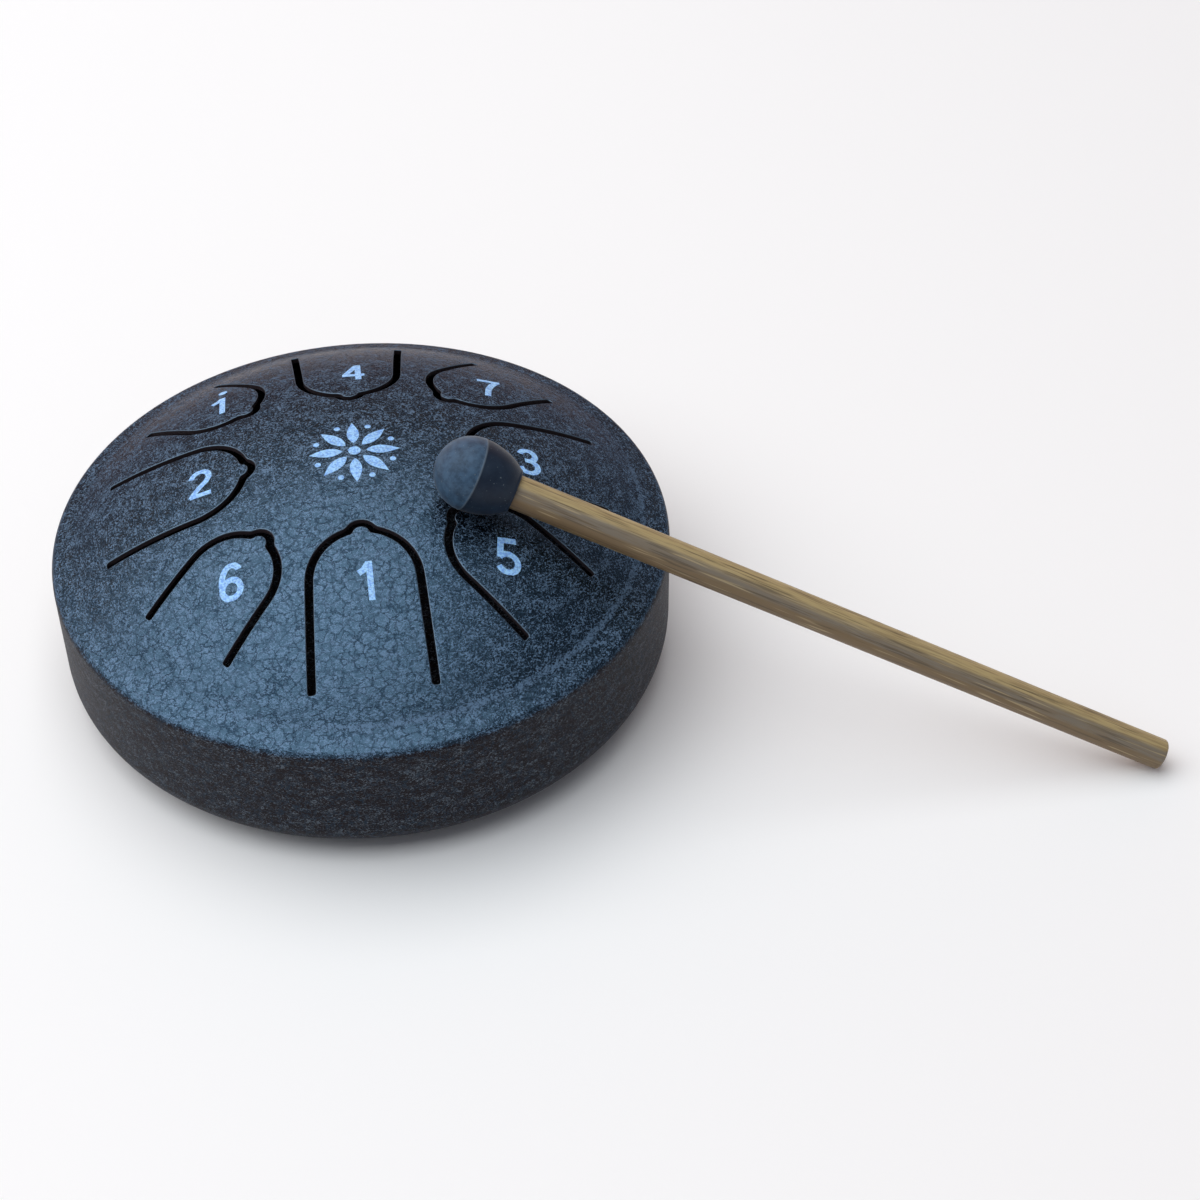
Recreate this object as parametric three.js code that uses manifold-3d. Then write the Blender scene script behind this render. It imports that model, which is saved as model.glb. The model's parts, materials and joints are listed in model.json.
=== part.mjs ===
// A small steel tongue drum with its mallet laid across it, in millimetres, +Z up.
// The drum is a pressed top with eight tongues, a pressed bottom pan with a sound hole, and rubber feet.
import * as THREE from "three";
import { mergeVertices } from "three/addons/utils/BufferGeometryUtils.js";
import Module from "manifold-3d";

// Drum body
const drumRadius = 75;
const sheet = 1.2;
const wallHeight = 32.8; // pan underside to the sharp corner that the shoulder rounds off
const shoulderInnerRadius = 1.3;
const rimBandWidth = 5.5; // flatter band between the dome's crease and the wall
const rimBandRise = 2.4;
const domeRise = 23.6; // crease to the top of the dome

// Bottom pan, with its rim stepped inwards so that the wall laps over it
const cornerRadius = 9;
const seamLand = 1; // straight wall between the rounded corner and the step
const lapHeight = 5;
const seamClearance = 0.3;
const soundHoleRadius = 12; // small enough to stay out of sight through the front tongue's slots

// Tongues, all cut to one pattern
const slotWidth = 1.85;
const sideFlare = 3; // degrees that each side opens towards the root
const rootInset = 9.5; // crease to the roots of the tongues
const noseHeight = 1.7;
const noseRadius = 2.1;
const rootGap = 0.3;

// Half width of each tongue at its root
const tongue1HalfWidth = 14;
const tongue5HalfWidth = 12.85;
const tongue3HalfWidth = 12.9;
const tongue7HalfWidth = 12.35;
const tongue4HalfWidth = 13.35;
const high1HalfWidth = 12.1;
const tongue2HalfWidth = 13.9;
const tongue6HalfWidth = 12.4;

// Radius of each tongue's tip from the drum's axis
const tongue1Tip = 23.05;
const tongue5Tip = 29.4;
const tongue3Tip = 25.2;
const tongue7Tip = 31.4;
const tongue4Tip = 22.5;
const high1Tip = 33.5;
const tongue2Tip = 24.5;
const tongue6Tip = 30.9;

// How far each tongue's root reaches past the common root circle
const tongue1Reach = 1.1;
const tongue3Reach = -1;
const tongue7Reach = -1.3;
const high1Reach = -0.3;
const tongue2Reach = 0.1;
const tongue6Reach = -0.8;

// Each tongue by its note, with its bearing in degrees from +X
const tongues = [
  { note: "1", bearing: -90.6, halfWidth: tongue1HalfWidth, tipRadius: tongue1Tip, rootReach: tongue1Reach },
  { note: "5", bearing: -43, halfWidth: tongue5HalfWidth, tipRadius: tongue5Tip, rootReach: 0 },
  { note: "3", bearing: 2.3, halfWidth: tongue3HalfWidth, tipRadius: tongue3Tip, rootReach: tongue3Reach },
  { note: "7", bearing: 44.9, halfWidth: tongue7HalfWidth, tipRadius: tongue7Tip, rootReach: tongue7Reach },
  { note: "4", bearing: 89.75, halfWidth: tongue4HalfWidth, tipRadius: tongue4Tip, rootReach: 0 },
  { note: "1_high", bearing: 134.75, halfWidth: high1HalfWidth, tipRadius: high1Tip, rootReach: high1Reach },
  { note: "2", bearing: 178.7, halfWidth: tongue2HalfWidth, tipRadius: tongue2Tip, rootReach: tongue2Reach },
  { note: "6", bearing: 224.5, halfWidth: tongue6HalfWidth, tipRadius: tongue6Tip, rootReach: tongue6Reach },
];

// Rubber feet
const footRadius = 6.5;
const footHeight = 3;
const footChamfer = 0.8;
const footEdgeMargin = 7.5; // foot to the start of the pan's rounded corner
const feet = [
  { place: "front", bearing: -90 },
  { place: "right", bearing: 30 },
  { place: "left", bearing: 150 },
];

// Mallet
const headRadius = 8.85;
const headBackLength = 10.8; // equator to the flat back face
const headLip = 0.45; // rubber left round the socket at the back face
const mouldLineHeight = 0.15;
const mouldLineWidth = 0.7;
const socketDepth = 12;
const socketClearance = 0.3;
const stickRadiusAtHead = 4.1;
const stickRadiusAtEnd = 3.75;
const stickReach = 178.3; // centre of the head's ball to the far end of the stick
const stickEndRound = 0.9;
const malletReach = 32; // drum axis to the head's centre, seen from above
const malletBearing = -34.5;
const stickBearing = -18.2;
const restGap = 0.3; // head to the dome, and stick end to the table

// Facets
const turnSegments = 64;
const domeSteps = 10;
const filletSteps = 4;
const outlineSegments = 3;
const malletSegments = 32;
const footSegments = 32;
const weldDistance = 1e-3; // vertices closer than this are one

// Finishes
const coat = { color: 0x39434d, roughness: 0.5, metalness: 0.3 };
const headRubber = { color: 0x333b46, roughness: 0.7, metalness: 0 };
const footRubber = { color: 0x1b1b1d, roughness: 0.85, metalness: 0 };
const wood = { color: 0xb39a6c, roughness: 0.65, metalness: 0 };

const radians = THREE.MathUtils.degToRad;
const wasm = await Module();
wasm.setup();

// Shared heights and the dome's sphere
const base = footHeight;
const creaseRadius = drumRadius - rimBandWidth;
const creaseHeight = base + wallHeight + rimBandRise;
const domeRadius = (creaseRadius ** 2 + domeRise ** 2) / (2 * domeRise);
const domeCentre = creaseHeight + domeRise - domeRadius;
const domeAngle = Math.asin(creaseRadius / domeRadius);
const bandAngle = Math.atan2(rimBandRise, rimBandWidth);
const seamHeight = base + cornerRadius + seamLand + sheet + seamClearance;

const point = (x, y) => new THREE.Vector2(x, y);

// Points of an arc in the profile plane, from one angle to another, ends included.
function arc(x, y, radius, from, to, steps) {
  const points = [];
  for (let i = 0; i <= steps; i += 1) {
    const angle = from + ((to - from) * i) / steps;
    points.push(point(x + radius * Math.cos(angle), y + radius * Math.sin(angle)));
  }
  return points;
}

// A profile of radius and height turned round Z.
function turned(profile, segments) {
  return new THREE.LatheGeometry(profile, segments).rotateX(Math.PI / 2);
}

function toSolid(geometry) {
  const bare = geometry.clone();
  bare.deleteAttribute("normal");
  bare.deleteAttribute("uv");
  const merged = mergeVertices(bare, weldDistance);
  const vertProperties = merged.attributes.position.array;
  const triVerts = new Uint32Array(merged.index.array);
  return new wasm.Manifold(new wasm.Mesh({ numProp: 3, vertProperties, triVerts }));
}

function toGeometry(solid) {
  const { vertProperties, triVerts } = solid.getMesh();
  const geometry = new THREE.BufferGeometry();
  geometry.setAttribute("position", new THREE.BufferAttribute(vertProperties, 3));
  geometry.setIndex(new THREE.BufferAttribute(triVerts, 1));
  geometry.computeVertexNormals();
  return geometry;
}

function piece(name, geometry, finish) {
  const mesh = new THREE.Mesh(geometry, new THREE.MeshStandardMaterial(finish));
  mesh.name = name;
  return mesh;
}

// Half of the top's section: dome, crease, rim band, shoulder and wall, back up inside at one thickness.
function topProfile() {
  const shoulderX = drumRadius - sheet - shoulderInnerRadius;
  const outerRadius = shoulderInnerRadius + sheet;
  const bandEdge = base + wallHeight + (drumRadius - shoulderX) * Math.tan(bandAngle);
  const shoulderY = bandEdge - outerRadius / Math.cos(bandAngle);
  const bandNormal = Math.PI / 2 - bandAngle;
  const creaseTilt = (domeAngle + bandAngle) / 2;
  const creaseDepth = sheet / Math.cos((domeAngle - bandAngle) / 2);
  const innerCrease = point(
    creaseRadius - creaseDepth * Math.sin(creaseTilt),
    creaseHeight - creaseDepth * Math.cos(creaseTilt),
  );
  const innerAngle = Math.atan2(innerCrease.x, innerCrease.y - domeCentre);
  const quarter = Math.PI / 2;
  const inner = arc(0, domeCentre, domeRadius - sheet, quarter, quarter - innerAngle, domeSteps);
  const outer = arc(0, domeCentre, domeRadius, quarter - domeAngle, quarter, domeSteps);
  inner[0].x = 0;
  outer[domeSteps].x = 0;
  return [
    ...inner,
    ...arc(shoulderX, shoulderY, shoulderInnerRadius, bandNormal, 0, filletSteps),
    point(drumRadius - sheet, seamHeight),
    point(drumRadius, seamHeight),
    ...arc(shoulderX, shoulderY, outerRadius, 0, bandNormal, filletSteps),
    ...outer,
  ];
}

// Closed section of the pan: flat bottom, rounded corner, and the rim stepped in under the wall.
function panProfile() {
  const stepTop = seamHeight - seamClearance;
  const rimOuter = drumRadius - sheet - seamClearance;
  const rimTop = seamHeight + lapHeight;
  const cornerX = drumRadius - cornerRadius;
  const cornerY = base + cornerRadius;
  const down = -Math.PI / 2;
  return [
    point(soundHoleRadius, base),
    ...arc(cornerX, cornerY, cornerRadius, down, 0, filletSteps),
    point(drumRadius, stepTop),
    point(rimOuter, stepTop),
    point(rimOuter, rimTop),
    point(rimOuter - sheet, rimTop),
    point(rimOuter - sheet, stepTop - sheet),
    point(drumRadius - sheet, stepTop - sheet),
    ...arc(cornerX, cornerY, cornerRadius - sheet, 0, down, filletSteps),
    point(soundHoleRadius, base + sheet),
    point(soundHoleRadius, base),
  ];
}

// The outline of a tongue, or of its window, at an offset from the middle of the slot: straight sides
// that flare to the root, a round head and a small nose. X runs out along the tongue.
function tongueOutline({ halfWidth, tipRadius, rootReach }, offset, rootTrim) {
  const flare = radians(sideFlare);
  const root = creaseRadius - rootInset + rootReach;
  const widthAtAxis = halfWidth - root * Math.tan(flare);
  const headApex = tipRadius + noseHeight;
  const headX = (headApex + widthAtAxis * Math.cos(flare)) / (1 - Math.sin(flare));
  const middleRadius = headX - headApex;
  const radius = middleRadius + offset;
  const noseX = headApex + slotWidth / 2 - noseHeight + noseRadius;
  const nose = noseRadius + slotWidth / 2 + offset;
  const reach = headX - noseX;
  const join = Math.acos((reach ** 2 + radius ** 2 - nose ** 2) / (2 * reach * radius));
  const noseJoin = Math.atan2(radius * Math.sin(join), radius * Math.cos(join) - reach);
  const rootEdge = root - rootTrim;
  const rootHalf = widthAtAxis + rootEdge * Math.tan(flare) + offset / Math.cos(flare);
  const side = Math.PI / 2 + flare;
  const outline = new THREE.Shape();
  outline.moveTo(rootEdge, rootHalf);
  outline.lineTo(rootEdge, -rootHalf);
  outline.absarc(headX, 0, radius, -side, join - Math.PI, true);
  outline.absarc(noseX, 0, nose, noseJoin - Math.PI, -noseJoin - Math.PI, true);
  outline.absarc(headX, 0, radius, Math.PI - join, side, true);
  outline.closePath();
  return outline;
}

// An outline made a prism that stands through the dome, turned to the tongue's bearing.
function tonguePrism(tongue, offset, rootTrim) {
  const prism = new THREE.ExtrudeGeometry(tongueOutline(tongue, offset, rootTrim), {
    depth: domeRise + wallHeight,
    bevelEnabled: false,
    curveSegments: outlineSegments,
  });
  prism.translate(0, 0, seamHeight + lapHeight).rotateZ(radians(tongue.bearing));
  return toSolid(prism);
}

function footGeometry() {
  return turned(
    [
      point(0, 0),
      point(footRadius - footChamfer, 0),
      point(footRadius, footChamfer),
      point(footRadius, footHeight),
      point(0, footHeight),
    ],
    footSegments,
  );
}

// The head lies with its ball's centre at the origin and its back, with the socket, towards +Z.
function headProfile() {
  const boreRadius = stickRadiusAtHead + socketClearance;
  const backRadius = boreRadius + headLip;
  const backLength = headBackLength / Math.sqrt(1 - (backRadius / headRadius) ** 2);
  const halfLine = mouldLineWidth / 2;
  const lineAngle = Math.asin(halfLine / headRadius);
  const ballSteps = 2 * filletSteps;
  const ball = arc(0, 0, headRadius, -Math.PI / 2, -lineAngle, ballSteps);
  ball[0].x = 0;
  const back = [];
  for (let i = 0; i <= ballSteps; i += 1) {
    const along = halfLine + ((headBackLength - halfLine) * Math.sin(((i / ballSteps) * Math.PI) / 2));
    back.push(point(headRadius * Math.sqrt(1 - (along / backLength) ** 2), along));
  }
  return [
    ...ball,
    point(headRadius + mouldLineHeight, 0),
    ...back,
    point(boreRadius, headBackLength),
    point(boreRadius, headBackLength - socketDepth),
    point(0, headBackLength - socketDepth),
  ];
}

function stickProfile() {
  const start = headBackLength - socketDepth + socketClearance;
  const endY = stickReach - stickEndRound;
  return [
    point(0, start),
    point(stickRadiusAtHead, start),
    point(stickRadiusAtHead, headBackLength),
    ...arc(stickRadiusAtEnd - stickEndRound, endY, stickEndRound, 0, Math.PI / 2, filletSteps),
    point(0, stickReach),
  ];
}

// The mallet leans from the dome to the table: its head touches the dome and its far end the table.
function placeMallet(mallet) {
  const restRadius = domeRadius + headRadius + mouldLineHeight + restGap;
  const headHeight = domeCentre + Math.sqrt(restRadius ** 2 - malletReach ** 2);
  const span = Math.hypot(stickReach, stickRadiusAtEnd);
  const lean = Math.asin((headHeight - restGap) / span) - Math.atan2(stickRadiusAtEnd, stickReach);
  const bearing = radians(malletBearing);
  mallet.position.set(malletReach * Math.cos(bearing), malletReach * Math.sin(bearing), headHeight);
  mallet.rotation.set(0, Math.PI / 2 + lean, radians(stickBearing), "ZYX");
}

const drum = new THREE.Group();
const top = toSolid(turned(topProfile(), turnSegments));
let topShell = top;
for (const tongue of tongues) {
  topShell = topShell.subtract(tonguePrism(tongue, slotWidth / 2, 0));
  const blade = top.intersect(tonguePrism(tongue, -slotWidth / 2, rootGap));
  drum.add(piece(`tongue_${tongue.note}`, toGeometry(blade), coat));
}
drum.add(piece("top_shell", toGeometry(topShell), coat));
drum.add(piece("bottom_pan", turned(panProfile(), turnSegments), coat));

const footCircle = drumRadius - cornerRadius - footEdgeMargin - footRadius;
for (const { place, bearing } of feet) {
  const foot = piece(`foot_${place}`, footGeometry(), footRubber);
  foot.position.set(footCircle * Math.cos(radians(bearing)), footCircle * Math.sin(radians(bearing)), 0);
  drum.add(foot);
}

const mallet = new THREE.Group();
mallet.add(piece("mallet_head", turned(headProfile(), malletSegments), headRubber));
mallet.add(piece("mallet_stick", turned(stickProfile(), malletSegments), wood));
placeMallet(mallet);

// The origin is under the middle of the whole set, on the table.
const tongueDrum = new THREE.Group();
tongueDrum.add(drum, mallet);
const middle = new THREE.Box3().setFromObject(tongueDrum, true).getCenter(new THREE.Vector3());
for (const half of [drum, mallet]) {
  half.position.x -= middle.x;
  half.position.y -= middle.y;
}

export default tongueDrum;
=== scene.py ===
import json
from math import acos, asin, atan2, cos, hypot, pi, radians, sin, sqrt, tan
import bpy
import numpy as np
from mathutils import Euler, Matrix, Vector
from mathutils.geometry import delaunay_2d_cdt


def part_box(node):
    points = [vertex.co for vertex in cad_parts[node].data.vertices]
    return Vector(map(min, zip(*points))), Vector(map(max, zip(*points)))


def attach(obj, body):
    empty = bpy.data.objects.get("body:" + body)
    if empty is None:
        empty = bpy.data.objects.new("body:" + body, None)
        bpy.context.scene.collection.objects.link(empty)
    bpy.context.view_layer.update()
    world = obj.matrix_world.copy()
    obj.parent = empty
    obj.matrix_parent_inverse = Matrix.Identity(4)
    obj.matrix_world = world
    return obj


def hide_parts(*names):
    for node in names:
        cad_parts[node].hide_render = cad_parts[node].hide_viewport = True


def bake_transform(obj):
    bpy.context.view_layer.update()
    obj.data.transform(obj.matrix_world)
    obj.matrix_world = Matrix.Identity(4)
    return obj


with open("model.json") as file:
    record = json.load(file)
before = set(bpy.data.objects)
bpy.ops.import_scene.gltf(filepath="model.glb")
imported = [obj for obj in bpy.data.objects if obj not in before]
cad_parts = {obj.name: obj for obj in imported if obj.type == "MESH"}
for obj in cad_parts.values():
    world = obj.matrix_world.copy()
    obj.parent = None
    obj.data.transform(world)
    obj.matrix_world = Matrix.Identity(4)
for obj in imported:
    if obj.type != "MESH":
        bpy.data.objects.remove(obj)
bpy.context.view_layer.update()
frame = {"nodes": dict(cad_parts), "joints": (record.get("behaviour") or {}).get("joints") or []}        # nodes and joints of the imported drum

mm = 0.001
quarter = pi / 2
scene = bpy.context.scene
scene.view_settings.view_transform = "Standard"


# Node helpers, for shader and geometry trees alike
def fill(tree, node, inputs):
    for socket, value in inputs.items():
        if isinstance(value, bpy.types.NodeSocket):
            tree.links.new(value, node.inputs[socket])
        else:
            node.inputs[socket].default_value = value


def addNode(tree, kind, inputs=None, **settings):
    node = tree.nodes.new(kind)
    for name, value in settings.items():
        setattr(node, name, value)
    fill(tree, node, inputs or {})
    return node


def calc(tree, operation, *values, clamp=False):
    node = addNode(tree, "ShaderNodeMath", dict(enumerate(values)), operation=operation, use_clamp=clamp)
    return node.outputs[0]


def vectorCalc(tree, operation, inputs, output="Vector"):
    return addNode(tree, "ShaderNodeVectorMath", inputs, operation=operation).outputs[output]


def parts(tree, vector):
    return addNode(tree, "ShaderNodeSeparateXYZ", {0: vector}).outputs


def combine(tree, *values):
    return addNode(tree, "ShaderNodeCombineXYZ", dict(enumerate(values))).outputs[0]


def remap(tree, value, low, high, toLow=0.0, toHigh=1.0):
    sockets = {"Value": value, "From Min": low, "From Max": high, "To Min": toLow, "To Max": toHigh}
    return addNode(tree, "ShaderNodeMapRange", sockets, interpolation_type="SMOOTHSTEP").outputs["Result"]


def mixColour(tree, factor, first, second):
    return addNode(tree, "ShaderNodeMix", {0: factor, 6: first, 7: second}, data_type="RGBA").outputs[2]


# Lays colours over each other, each by its own mask
def layered(tree, skin, *layers):
    for mask, paint in layers:
        skin = mixColour(tree, mask, skin, paint)
    return skin


def mixValue(tree, factor, first, second):
    return addNode(tree, "ShaderNodeMix", {0: factor, 2: first, 3: second}).outputs[0]


def noise(tree, vector, scale, detail=2.0, roughness=0.5, distortion=0.0, output="Fac"):
    sockets = {"Vector": vector, "Scale": scale, "Detail": detail}
    sockets |= {"Roughness": roughness, "Distortion": distortion}
    return addNode(tree, "ShaderNodeTexNoise", sockets).outputs[output]


def bump(tree, height, distance, strength=1.0):
    sockets = {"Height": height, "Distance": distance, "Strength": strength}
    return addNode(tree, "ShaderNodeBump", sockets).outputs[0]


def shape(tree, kind, inputs=None, **settings):
    return addNode(tree, "GeometryNode" + kind, inputs, **settings).outputs[0]


socketTypes = {float: "Float", int: "Int", tuple: "Vector"}
groupResults = {"Shader": "Float", "Geometry": "Geometry"}


# A node group; an input's kind follows from its default, or is named where it has none
def newTree(name, kind, inputs, outputs):
    tree = bpy.data.node_groups.new(name, kind + "NodeTree")
    for label, value in inputs.items():
        socketType = "NodeSocket" + socketTypes.get(type(value), str(value))
        socket = tree.interface.new_socket(label, in_out="INPUT", socket_type=socketType)
        if type(value) in socketTypes:
            socket.default_value = value
    for label in outputs:
        socketType = "NodeSocket" + groupResults[kind]
        tree.interface.new_socket(label, in_out="OUTPUT", socket_type=socketType)
    return tree, tree.nodes.new("NodeGroupInput").outputs, tree.nodes.new("NodeGroupOutput")


def colour(red, green, blue):
    return (red, green, blue, 1.0)


def bearingWay(angle):
    return (cos(angle), sin(angle), 0.0)


def addObject(name, data):
    added = bpy.data.objects.new(name, data)
    scene.collection.objects.link(added)
    return added


# Leather-like crackle of the powder coat, which the printed numbers lie on as well.
# Noises are given by scale, detail, roughness and distortion, all but drift in cells.
crackle = {
    "drift": (45.0, 3.0),
    "bend": (1.2, 4.0, 0.7),
    "speck": (4.8, 2.0, 0.6, 0.9),
    "clump": (0.75, 2.0),
    "fading": (0.55, 2.0),
    "flatten": (1.0, 1.0, 2.2),
    "clumpShare": 0.3,
    "fade": (0.36, 0.58, 0.65, 1.0),
    "veinScale": 2.1,
    "veinFrom": 1.1,
    "veinShare": 0.6,
    "plateEdge": 0.2,
    "plateHeight": 0.2,
    "crackDepth": 0.24,
}


def makeLeatherGrain():
    look = crackle
    inputs = {"Vector": "Vector", "Cell Size": 2.0 * mm, "Warp": 1.5, "Crack Width": 0.066, "Speckle": 0.65}
    outputs = ("Height", "Cracks", "Tone", "Speck", "Drift")
    tree, given, made = newTree("leatherGrain", "Shader", inputs, outputs)
    perCell = calc(tree, "DIVIDE", 1.0, given["Cell Size"])
    cells = vectorCalc(tree, "SCALE", {0: given["Vector"], "Scale": perCell})
    bend = noise(tree, cells, *look["bend"], output="Color")
    centred = vectorCalc(tree, "ADD", {0: bend, 1: (-0.5, -0.5, -0.5)})
    shift = vectorCalc(tree, "SCALE", {0: centred, "Scale": given["Warp"]})
    warped = vectorCalc(tree, "ADD", {0: cells, 1: shift})

    def cellEdge(scale):
        sockets = {"Vector": warped, "Scale": scale}
        return addNode(tree, "ShaderNodeTexVoronoi", sockets, feature="DISTANCE_TO_EDGE").outputs["Distance"]

    def crackAt(distance):
        return remap(tree, distance, 0.0, given["Crack Width"], 1.0, 0.0)

    edge = cellEdge(1.0)
    cell = addNode(tree, "ShaderNodeTexVoronoi", {"Vector": warped, "Scale": 1.0}).outputs["Color"]
    squat = vectorCalc(tree, "MULTIPLY", {0: cells, 1: look["flatten"]})
    clump = calc(tree, "SUBTRACT", noise(tree, squat, *look["clump"]), 0.5)
    speck = calc(tree, "MULTIPLY_ADD", clump, look["clumpShare"], noise(tree, squat, *look["speck"]))
    fading = remap(tree, noise(tree, cells, *look["fading"]), *look["fade"])
    veinFading = calc(tree, "SUBTRACT", look["veinFrom"], fading)
    veins = calc(tree, "MULTIPLY", crackAt(cellEdge(look["veinScale"])), veinFading)
    veins = calc(tree, "MULTIPLY", veins, look["veinShare"])
    cracks = calc(tree, "MAXIMUM", calc(tree, "MULTIPLY", crackAt(edge), fading), veins)
    plate = calc(tree, "MULTIPLY", remap(tree, edge, 0.0, look["plateEdge"]), look["plateHeight"])
    height = calc(tree, "MULTIPLY_ADD", speck, given["Speckle"], plate)
    height = calc(tree, "SUBTRACT", height, calc(tree, "MULTIPLY", cracks, look["crackDepth"]))
    tone = addNode(tree, "ShaderNodeSeparateColor", {0: cell}).outputs[0]
    drift = noise(tree, given["Vector"], *look["drift"])
    fill(tree, made, dict(zip(outputs, (height, cracks, tone, speck, drift))))
    return tree


# Pale dust and handling marks on the rubbers
dusting = {
    "patches": (1.0, 5.0, 0.65),
    "grit": (6.0, 2.0),
    "filmFrom": (0.34, 0.72),
    "specksFrom": (0.67, 0.76),
    "relief": 0.5,
}


def makeDust():
    look = dusting
    inputs = {"Vector": "Vector", "Patch Size": 4.0 * mm, "Amount": 0.5}
    tree, given, made = newTree("dustBloom", "Shader", inputs, ("Dust", "Specks", "Height"))
    perPatch = calc(tree, "DIVIDE", 1.0, given["Patch Size"])
    spots = vectorCalc(tree, "SCALE", {0: given["Vector"], "Scale": perPatch})
    patches = noise(tree, spots, *look["patches"])
    grit = noise(tree, spots, *look["grit"])
    film = calc(tree, "MULTIPLY", remap(tree, patches, *look["filmFrom"]), given["Amount"])
    gritHeight = calc(tree, "MULTIPLY", grit, look["relief"])
    height = calc(tree, "MULTIPLY_ADD", patches, look["relief"], gritHeight)
    fill(tree, made, {"Dust": film, "Specks": remap(tree, grit, *look["specksFrom"]), "Height": height})
    return tree


leatherGrain = makeLeatherGrain()
dustBloom = makeDust()


def newMaterial(name):
    material = bpy.data.materials.new(name)
    material.use_nodes = True
    tree = material.node_tree
    tree.nodes.clear()
    shader = addNode(tree, "ShaderNodeBsdfPrincipled")
    addNode(tree, "ShaderNodeOutputMaterial", {"Surface": shader.outputs[0]})
    coords = addNode(tree, "ShaderNodeTexCoord").outputs["Object"]
    return material, tree, shader, coords


def setFinish(tree, shader, skin, rough, normal):
    fill(tree, shader, {"Base Color": skin, "Roughness": rough, "Normal": normal})


def placeGroup(tree, group, inputs):
    return addNode(tree, "ShaderNodeGroup", inputs, node_tree=group).outputs


# The coat mirrors the light in its own dark blue on the top, with dull flecks, and is browner on the wall
# and in the slots, whose rounded edges are painted lighter as a highlight
coatLook = {
    "cell": 2.5 * mm,
    "relief": 0.10 * mm,
    "top": colour(0.034, 0.064, 0.098),
    "topLight": colour(0.041, 0.076, 0.115),
    "driftShare": 0.8,
    "toneShare": 0.12,
    "fleck": colour(0.153, 0.250, 0.374),
    "fleckFrom": (0.525, 0.565),
    "crack": colour(0.014, 0.031, 0.054),
    # Rounded slot edges, painted lighter as a highlight
    "rubbedAndHighlit": colour(0.125, 0.185, 0.250),
    "highlightFrom": (0.05, 0.3),
    "wall": colour(0.0122, 0.0092, 0.0115),
    "wallFleck": colour(0.122, 0.152, 0.186),
    "wallFleckFrom": (0.56, 0.62),
    "cut": colour(0.034, 0.027, 0.031),
    "cutFrom": (0.6, 0.9),
    "shine": {"Specular IOR Level": 0.12, "Specular Tint": colour(0.47, 0.40, 0.38)},
    "gloss": (0.3, 0.7, 0.16, 0.24),
    "fleckGloss": 0.68,
    "edgeGloss": 0.45,
    "wallGloss": 0.5,
    "wallMetal": 0.6,
    "ragged": 2.2 * mm,
    "fade": (-0.65 * mm, -0.05 * mm),
    # Painted highlight along the inside of the crease: its place, width, flecks and fade towards the front
    # right
    "lineInset": 1.0 * mm,
    "lineHalfWidth": 1.0 * mm,
    "glintFlecks": 0.13,
    "lineBearing": radians(-50),
    "lineFade": (15 * mm, 55 * mm),
}


# Painted highlight: more flecks along a line just inside the crease, fading in towards the front right,
# where the crease catches the light
def creaseFlecks(tree, coords, middle, creaseDistance):
    look = coatLook
    fromAxis = {0: coords, 1: (1.0, 1.0, 0.0), 2: (-middle.x, -middle.y, 0.0)}
    flat = vectorCalc(tree, "MULTIPLY_ADD", fromAxis)
    reach = vectorCalc(tree, "LENGTH", {0: flat}, "Value")
    lean = vectorCalc(tree, "DOT_PRODUCT", {0: flat, 1: bearingWay(look["lineBearing"])}, "Value")
    offLine = calc(tree, "ABSOLUTE", calc(tree, "SUBTRACT", reach, creaseDistance - look["lineInset"]))
    line = remap(tree, offLine, 0.0, look["lineHalfWidth"], look["glintFlecks"], 0.0)
    return calc(tree, "MULTIPLY", line, remap(tree, lean, *look["lineFade"]))


def makeCoat(shoulderHeight, middle, creaseDistance):
    look = coatLook
    material, tree, shader, coords = newMaterial("crackledCoat")
    grain = placeGroup(tree, leatherGrain, {"Vector": coords, "Cell Size": look["cell"]})
    offset = calc(tree, "SUBTRACT", grain["Speck"], 0.5)
    ragged = calc(tree, "MULTIPLY_ADD", offset, look["ragged"], parts(tree, coords)[2])
    onTop = remap(tree, ragged, *[shoulderHeight + limit for limit in look["fade"]])
    edge = addNode(tree, "ShaderNodeAttribute", attribute_name="slotEdge").outputs["Fac"]
    inCut = remap(tree, edge, *look["cutFrom"])
    # The rounded slot edges, which are painted lighter as a highlight
    onEdge = calc(tree, "SUBTRACT", remap(tree, edge, *look["highlightFrom"]), inCut)
    # The flecks take in the painted highlight along the crease
    flecksAndGlint = calc(tree, "ADD", grain["Speck"], creaseFlecks(tree, coords, middle, creaseDistance))
    fleck = remap(tree, flecksAndGlint, *look["fleckFrom"])
    wallFleck = remap(tree, grain["Speck"], *look["wallFleckFrom"])
    tone = calc(tree, "MULTIPLY", grain["Tone"], look["toneShare"])
    tint = calc(tree, "MULTIPLY_ADD", grain["Drift"], look["driftShare"], tone)
    top = layered(tree, look["top"], (tint, look["topLight"]), (fleck, look["fleck"]))
    skin = layered(tree, look["wall"], (wallFleck, look["wallFleck"]), (onTop, top))
    marks = [(grain["Cracks"], look["crack"]), (onEdge, look["rubbedAndHighlit"]), (inCut, look["cut"])]
    skin = layered(tree, skin, *marks)
    rough = remap(tree, grain["Drift"], *look["gloss"])
    rough = mixValue(tree, fleck, rough, look["fleckGloss"])
    rough = mixValue(tree, onTop, look["wallGloss"], rough)
    rough = mixValue(tree, onEdge, rough, look["edgeGloss"])
    metal = calc(tree, "MAXIMUM", onTop, calc(tree, "MULTIPLY", wallFleck, look["wallMetal"]))
    metal = calc(tree, "SUBTRACT", metal, inCut, clamp=True)
    setFinish(tree, shader, skin, rough, bump(tree, grain["Height"], look["relief"]))
    fill(tree, shader, {"Metallic": metal, **look["shine"]})
    return material


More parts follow.
